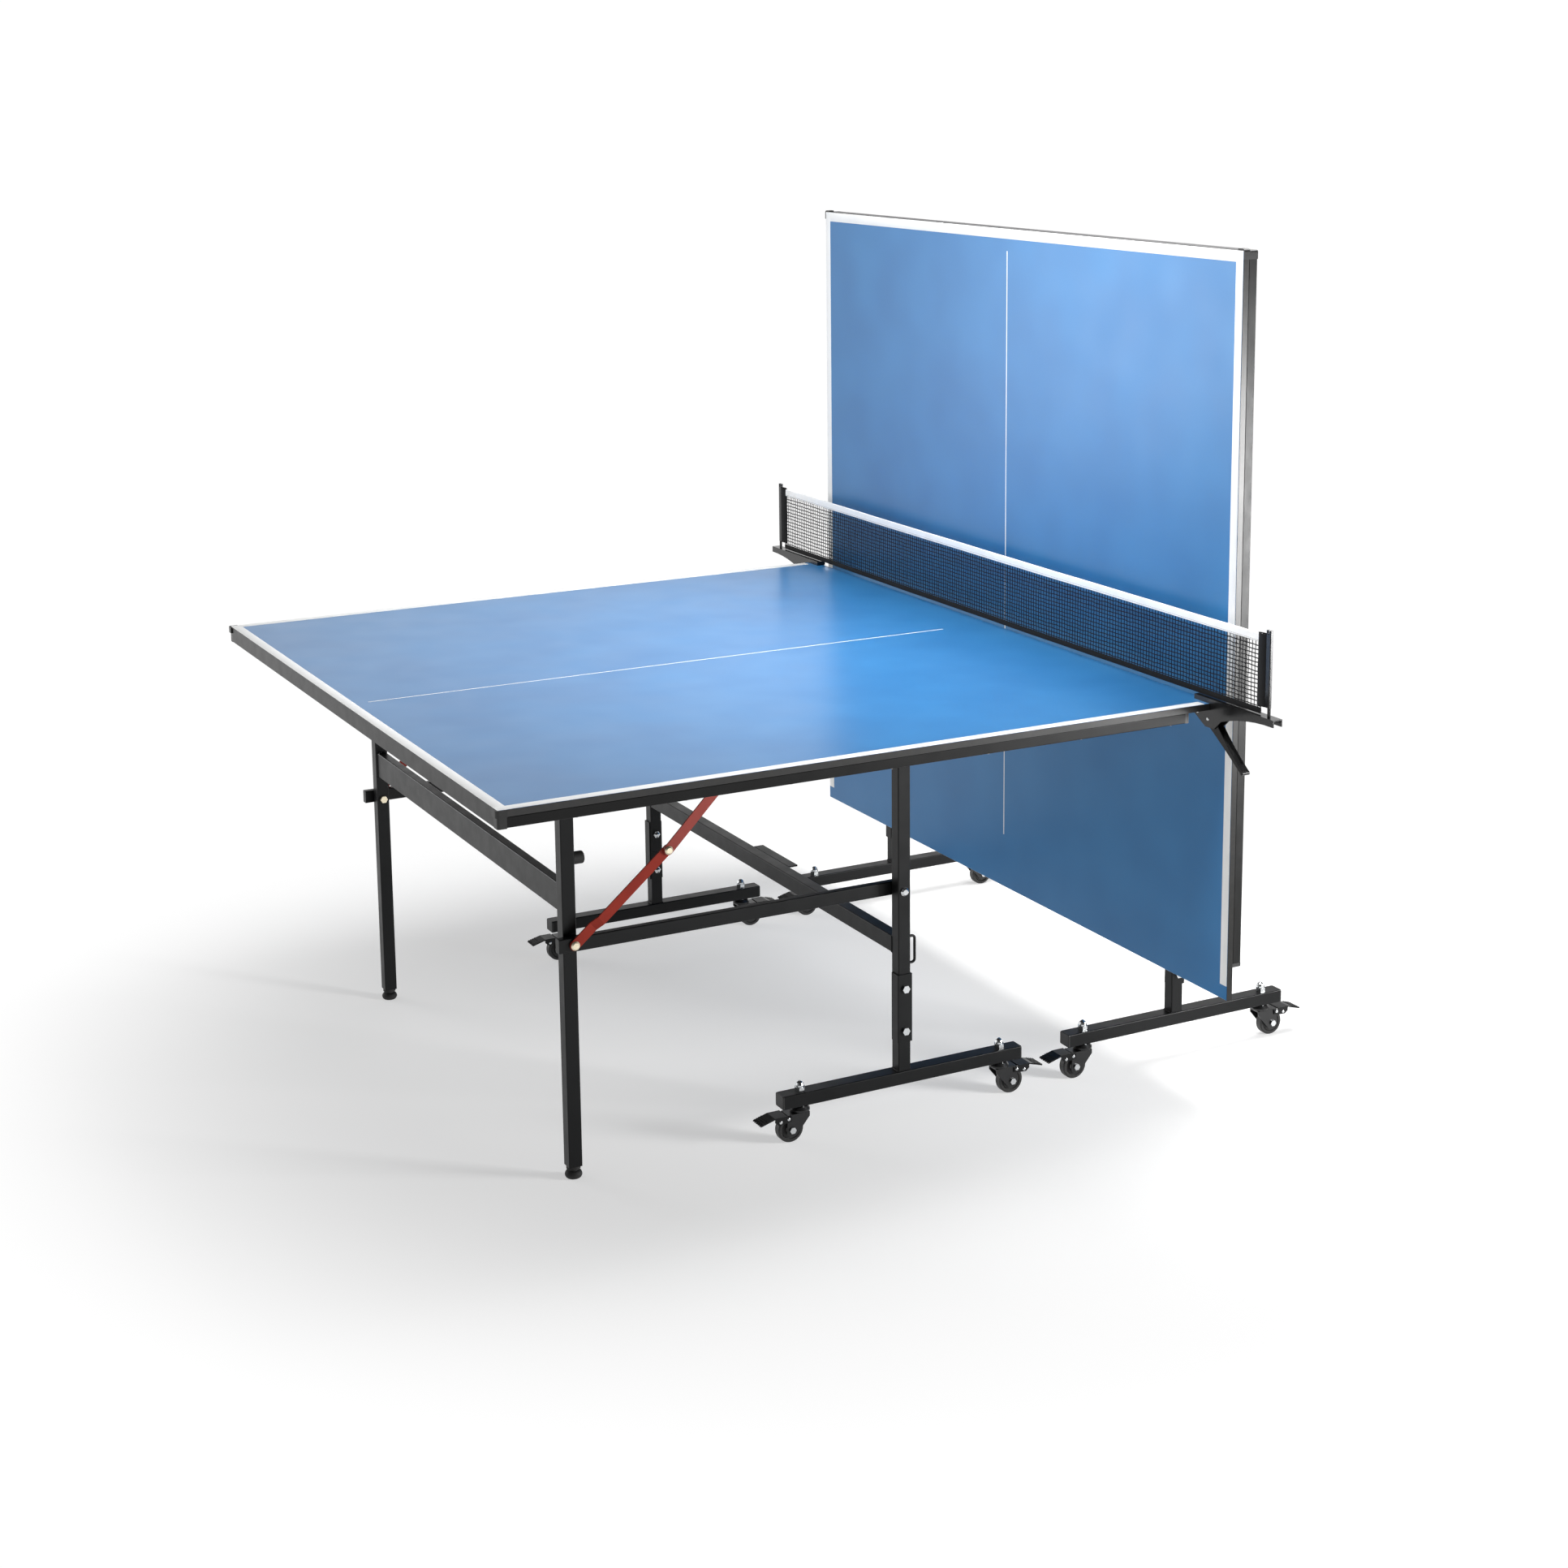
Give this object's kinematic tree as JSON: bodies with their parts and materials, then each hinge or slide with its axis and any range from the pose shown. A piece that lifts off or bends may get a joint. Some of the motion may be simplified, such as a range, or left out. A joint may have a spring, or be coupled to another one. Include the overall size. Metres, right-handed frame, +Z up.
{
  "type": "folding table tennis table",
  "caption": "Folding table tennis table in playback position: one half level, the other upright behind the clamped net, both on wheeled trolleys.",
  "frame": {"origin": "centre of the footprint on the floor", "axes": "+X along the table from the level half to the upright half, +Y across the table, +Z up"},
  "size_m": [1.75, 1.885, 1.5651],
  "materials": {
    "board_blue": "satin lacquer over chipboard",
    "black_steel": "satin black powder coat",
    "red_steel": "satin red powder coat",
    "zinc": "bright zinc plate",
    "black_plastic": "moulded, fine grain",
    "rubber": "matt",
    "wheel_black": "moulded",
    "net_mesh": "knotted mesh with a white tape"
  },
  "bodies": {
    "play_trolley": {"play_trolley_frame": "black_steel", "play_t_feet": "black_steel", "play_foot_caps": "black_plastic", "play_trolley_bolts": "zinc"},
    "play_top": {"play_board": "board_blue", "play_apron": "black_steel", "play_corner_caps": "black_plastic", "play_top_brackets": "black_steel", "play_top_bolts": "zinc", "net": "net_mesh", "net_clamps": "black_steel"},
    "play_leg_frame": {"play_legs": "black_steel", "play_leg_feet": "black_plastic", "play_leg_bumpers": "rubber", "play_leg_bolts": "zinc"},
    "play_links": {"play_link_bars": "black_steel"},
    "play_upper_stay": {"play_upper_stays": "red_steel"},
    "play_lower_stay": {"play_lower_stays": "red_steel"},
    "rebound_trolley": {"rebound_trolley_frame": "black_steel", "rebound_t_feet": "black_steel", "rebound_foot_caps": "black_plastic", "rebound_trolley_bolts": "zinc"},
    "rebound_top": {"rebound_board": "board_blue", "rebound_apron": "black_steel", "rebound_corner_caps": "black_plastic", "rebound_top_brackets": "black_steel", "rebound_top_bolts": "zinc"},
    "rebound_leg_frame": {"rebound_legs": "black_steel", "rebound_leg_feet": "black_plastic", "rebound_leg_bumpers": "rubber", "rebound_leg_bolts": "zinc"},
    "rebound_links": {"rebound_link_bars": "black_steel"},
    "rebound_upper_stay": {"rebound_upper_stays": "red_steel"},
    "rebound_lower_stay": {"rebound_lower_stays": "red_steel"},
    "play_end_near_caster": {"play_end_near_fork": "black_steel"},
    "play_end_near_caster_wheel": {"play_end_near_wheel": "wheel_black"},
    "play_end_near_brake": {"play_end_near_pedal": "black_steel"},
    "play_end_far_caster": {"play_end_far_fork": "black_steel"},
    "play_end_far_caster_wheel": {"play_end_far_wheel": "wheel_black"},
    "play_end_far_brake": {"play_end_far_pedal": "black_steel"},
    "play_net_near_caster": {"play_net_near_fork": "black_steel"},
    "play_net_near_caster_wheel": {"play_net_near_wheel": "wheel_black"},
    "play_net_near_brake": {"play_net_near_pedal": "black_steel"},
    "play_net_far_caster": {"play_net_far_fork": "black_steel"},
    "play_net_far_caster_wheel": {"play_net_far_wheel": "wheel_black"},
    "play_net_far_brake": {"play_net_far_pedal": "black_steel"},
    "rebound_end_near_caster": {"rebound_end_near_fork": "black_steel"},
    "rebound_end_near_caster_wheel": {"rebound_end_near_wheel": "wheel_black"},
    "rebound_end_near_brake": {"rebound_end_near_pedal": "black_steel"},
    "rebound_end_far_caster": {"rebound_end_far_fork": "black_steel"},
    "rebound_end_far_caster_wheel": {"rebound_end_far_wheel": "wheel_black"},
    "rebound_end_far_brake": {"rebound_end_far_pedal": "black_steel"},
    "rebound_net_near_caster": {"rebound_net_near_fork": "black_steel"},
    "rebound_net_near_caster_wheel": {"rebound_net_near_wheel": "wheel_black"},
    "rebound_net_near_brake": {"rebound_net_near_pedal": "black_steel"},
    "rebound_net_far_caster": {"rebound_net_far_fork": "black_steel"},
    "rebound_net_far_caster_wheel": {"rebound_net_far_wheel": "wheel_black"},
    "rebound_net_far_brake": {"rebound_net_far_pedal": "black_steel"},
    "net_near_lever": {"net_lever_near": "black_steel"},
    "net_far_lever": {"net_lever_far": "black_steel"}
  },
  "joints": [
    {"name": "play_fold", "type": "hinge", "parent": "play_trolley", "child": "play_top", "pos_m": [-0.024, 0, 0.714], "axis": [0, 1, 0], "range_deg": [0, 90]},
    {"name": "play_leg_swing", "type": "hinge", "parent": "play_top", "child": "play_leg_frame", "pos_m": [-0.651, 0, 0.714], "axis": [0, 1, 0], "range_deg": [-90, 0]},
    {"name": "play_link_swing", "type": "hinge", "parent": "play_trolley", "child": "play_links", "pos_m": [-0.024, 0, 0.43], "axis": [0, 1, 0], "range_deg": [0, 90]},
    {"name": "play_upper_stay_swing", "type": "hinge", "parent": "play_top", "child": "play_upper_stay", "pos_m": [-0.34, 0, 0.714], "axis": [0, 1, 0], "range_deg": [-127.6, 0]},
    {"name": "play_lower_stay_swing", "type": "hinge", "parent": "play_leg_frame", "child": "play_lower_stay", "pos_m": [-0.651, 0, 0.43], "axis": [0, 1, 0], "range_deg": [0, 136.7]},
    {"name": "rebound_roll", "type": "slide", "parent": "play_trolley", "child": "rebound_trolley", "axis": [1, 0, 0], "range_m": [0, 0.52]},
    {"name": "rebound_fold", "type": "hinge", "parent": "rebound_trolley", "child": "rebound_top", "pos_m": [0.58, 0, 0.714], "axis": [0, 1, 0], "range_deg": [0, 90]},
    {"name": "rebound_leg_swing", "type": "hinge", "parent": "rebound_top", "child": "rebound_leg_frame", "pos_m": [0.58, 0, 1.341], "axis": [0, 1, 0], "range_deg": [-90, 0]},
    {"name": "rebound_link_swing", "type": "hinge", "parent": "rebound_trolley", "child": "rebound_links", "pos_m": [0.58, 0, 0.43], "axis": [0, 1, 0], "range_deg": [0, 90]},
    {"name": "rebound_upper_stay_swing", "type": "hinge", "parent": "rebound_top", "child": "rebound_upper_stay", "pos_m": [0.58, 0, 1.03], "axis": [0, 1, 0], "range_deg": [-127.6, 0]},
    {"name": "rebound_lower_stay_swing", "type": "hinge", "parent": "rebound_leg_frame", "child": "rebound_lower_stay", "pos_m": [0.58, 0, 1.057], "axis": [0, 1, 0], "range_deg": [0, 136.7]},
    {"name": "play_end_near_swivel", "type": "hinge", "parent": "play_trolley", "child": "play_end_near_caster", "pos_m": [-0.233, -0.5375, 0.06], "axis": [0, 0, 1], "continuous": true},
    {"name": "play_end_near_roll", "type": "hinge", "parent": "play_end_near_caster", "child": "play_end_near_caster_wheel", "pos_m": [-0.255, -0.5375, 0.025], "axis": [0, 1, 0], "continuous": true},
    {"name": "play_end_near_brake_press", "type": "hinge", "parent": "play_end_near_caster", "child": "play_end_near_brake", "pos_m": [-0.263, -0.5375, 0.048], "axis": [0, -1, 0], "range_deg": [0, 8]},
    {"name": "play_end_far_swivel", "type": "hinge", "parent": "play_trolley", "child": "play_end_far_caster", "pos_m": [-0.233, 0.5375, 0.06], "axis": [0, 0, 1], "continuous": true},
    {"name": "play_end_far_roll", "type": "hinge", "parent": "play_end_far_caster", "child": "play_end_far_caster_wheel", "pos_m": [-0.255, 0.5375, 0.025], "axis": [0, 1, 0], "continuous": true},
    {"name": "play_end_far_brake_press", "type": "hinge", "parent": "play_end_far_caster", "child": "play_end_far_brake", "pos_m": [-0.263, 0.5375, 0.048], "axis": [0, -1, 0], "range_deg": [0, 8]},
    {"name": "play_net_near_swivel", "type": "hinge", "parent": "play_trolley", "child": "play_net_near_caster", "pos_m": [0.185, -0.5375, 0.06], "axis": [0, 0, 1], "continuous": true},
    {"name": "play_net_near_roll", "type": "hinge", "parent": "play_net_near_caster", "child": "play_net_near_caster_wheel", "pos_m": [0.207, -0.5375, 0.025], "axis": [0, 1, 0], "continuous": true},
    {"name": "play_net_near_brake_press", "type": "hinge", "parent": "play_net_near_caster", "child": "play_net_near_brake", "pos_m": [0.215, -0.5375, 0.048], "axis": [0, 1, 0], "range_deg": [0, 8]},
    {"name": "play_net_far_swivel", "type": "hinge", "parent": "play_trolley", "child": "play_net_far_caster", "pos_m": [0.185, 0.5375, 0.06], "axis": [0, 0, 1], "continuous": true},
    {"name": "play_net_far_roll", "type": "hinge", "parent": "play_net_far_caster", "child": "play_net_far_caster_wheel", "pos_m": [0.207, 0.5375, 0.025], "axis": [0, 1, 0], "continuous": true},
    {"name": "play_net_far_brake_press", "type": "hinge", "parent": "play_net_far_caster", "child": "play_net_far_brake", "pos_m": [0.215, 0.5375, 0.048], "axis": [0, 1, 0], "range_deg": [0, 8]},
    {"name": "rebound_end_near_swivel", "type": "hinge", "parent": "rebound_trolley", "child": "rebound_end_near_caster", "pos_m": [0.789, -0.5375, 0.06], "axis": [0, 0, 1], "continuous": true},
    {"name": "rebound_end_near_roll", "type": "hinge", "parent": "rebound_end_near_caster", "child": "rebound_end_near_caster_wheel", "pos_m": [0.811, -0.5375, 0.025], "axis": [0, 1, 0], "continuous": true},
    {"name": "rebound_end_near_brake_press", "type": "hinge", "parent": "rebound_end_near_caster", "child": "rebound_end_near_brake", "pos_m": [0.819, -0.5375, 0.048], "axis": [0, 1, 0], "range_deg": [0, 8]},
    {"name": "rebound_end_far_swivel", "type": "hinge", "parent": "rebound_trolley", "child": "rebound_end_far_caster", "pos_m": [0.789, 0.5375, 0.06], "axis": [0, 0, 1], "continuous": true},
    {"name": "rebound_end_far_roll", "type": "hinge", "parent": "rebound_end_far_caster", "child": "rebound_end_far_caster_wheel", "pos_m": [0.811, 0.5375, 0.025], "axis": [0, 1, 0], "continuous": true},
    {"name": "rebound_end_far_brake_press", "type": "hinge", "parent": "rebound_end_far_caster", "child": "rebound_end_far_brake", "pos_m": [0.819, 0.5375, 0.048], "axis": [0, 1, 0], "range_deg": [0, 8]},
    {"name": "rebound_net_near_swivel", "type": "hinge", "parent": "rebound_trolley", "child": "rebound_net_near_caster", "pos_m": [0.371, -0.5375, 0.06], "axis": [0, 0, 1], "continuous": true},
    {"name": "rebound_net_near_roll", "type": "hinge", "parent": "rebound_net_near_caster", "child": "rebound_net_near_caster_wheel", "pos_m": [0.349, -0.5375, 0.025], "axis": [0, 1, 0], "continuous": true},
    {"name": "rebound_net_near_brake_press", "type": "hinge", "parent": "rebound_net_near_caster", "child": "rebound_net_near_brake", "pos_m": [0.341, -0.5375, 0.048], "axis": [0, -1, 0], "range_deg": [0, 8]},
    {"name": "rebound_net_far_swivel", "type": "hinge", "parent": "rebound_trolley", "child": "rebound_net_far_caster", "pos_m": [0.371, 0.5375, 0.06], "axis": [0, 0, 1], "continuous": true},
    {"name": "rebound_net_far_roll", "type": "hinge", "parent": "rebound_net_far_caster", "child": "rebound_net_far_caster_wheel", "pos_m": [0.349, 0.5375, 0.025], "axis": [0, 1, 0], "continuous": true},
    {"name": "rebound_net_far_brake_press", "type": "hinge", "parent": "rebound_net_far_caster", "child": "rebound_net_far_brake", "pos_m": [0.341, 0.5375, 0.048], "axis": [0, -1, 0], "range_deg": [0, 8]},
    {"name": "net_near_squeeze", "type": "hinge", "parent": "play_top", "child": "net_near_lever", "pos_m": [0.491, -0.7585, 0.731], "axis": [-1, 0, 0], "range_deg": [0, 12], "stiffness_Nm_per_rad": 2, "springref_deg": -17.19},
    {"name": "net_far_squeeze", "type": "hinge", "parent": "play_top", "child": "net_far_lever", "pos_m": [0.491, 0.7585, 0.731], "axis": [1, 0, 0], "range_deg": [0, 12], "stiffness_Nm_per_rad": 2, "springref_deg": -17.19}
  ],
  "couplings": [
    {"joint": "play_leg_swing", "follows": "play_fold", "ratio": -1},
    {"joint": "play_link_swing", "follows": "play_fold", "ratio": 1},
    {"joint": "play_upper_stay_swing", "follows": "play_fold", "ratio": -1.4167},
    {"joint": "play_lower_stay_swing", "follows": "play_fold", "ratio": 1.5178},
    {"joint": "rebound_fold", "follows": "rebound_roll", "rad_per_m": 3.0208},
    {"joint": "rebound_leg_swing", "follows": "rebound_roll", "rad_per_m": -3.0208},
    {"joint": "rebound_link_swing", "follows": "rebound_roll", "rad_per_m": 3.0208},
    {"joint": "rebound_upper_stay_swing", "follows": "rebound_roll", "rad_per_m": -4.2794},
    {"joint": "rebound_lower_stay_swing", "follows": "rebound_roll", "rad_per_m": 4.585}
  ]
}
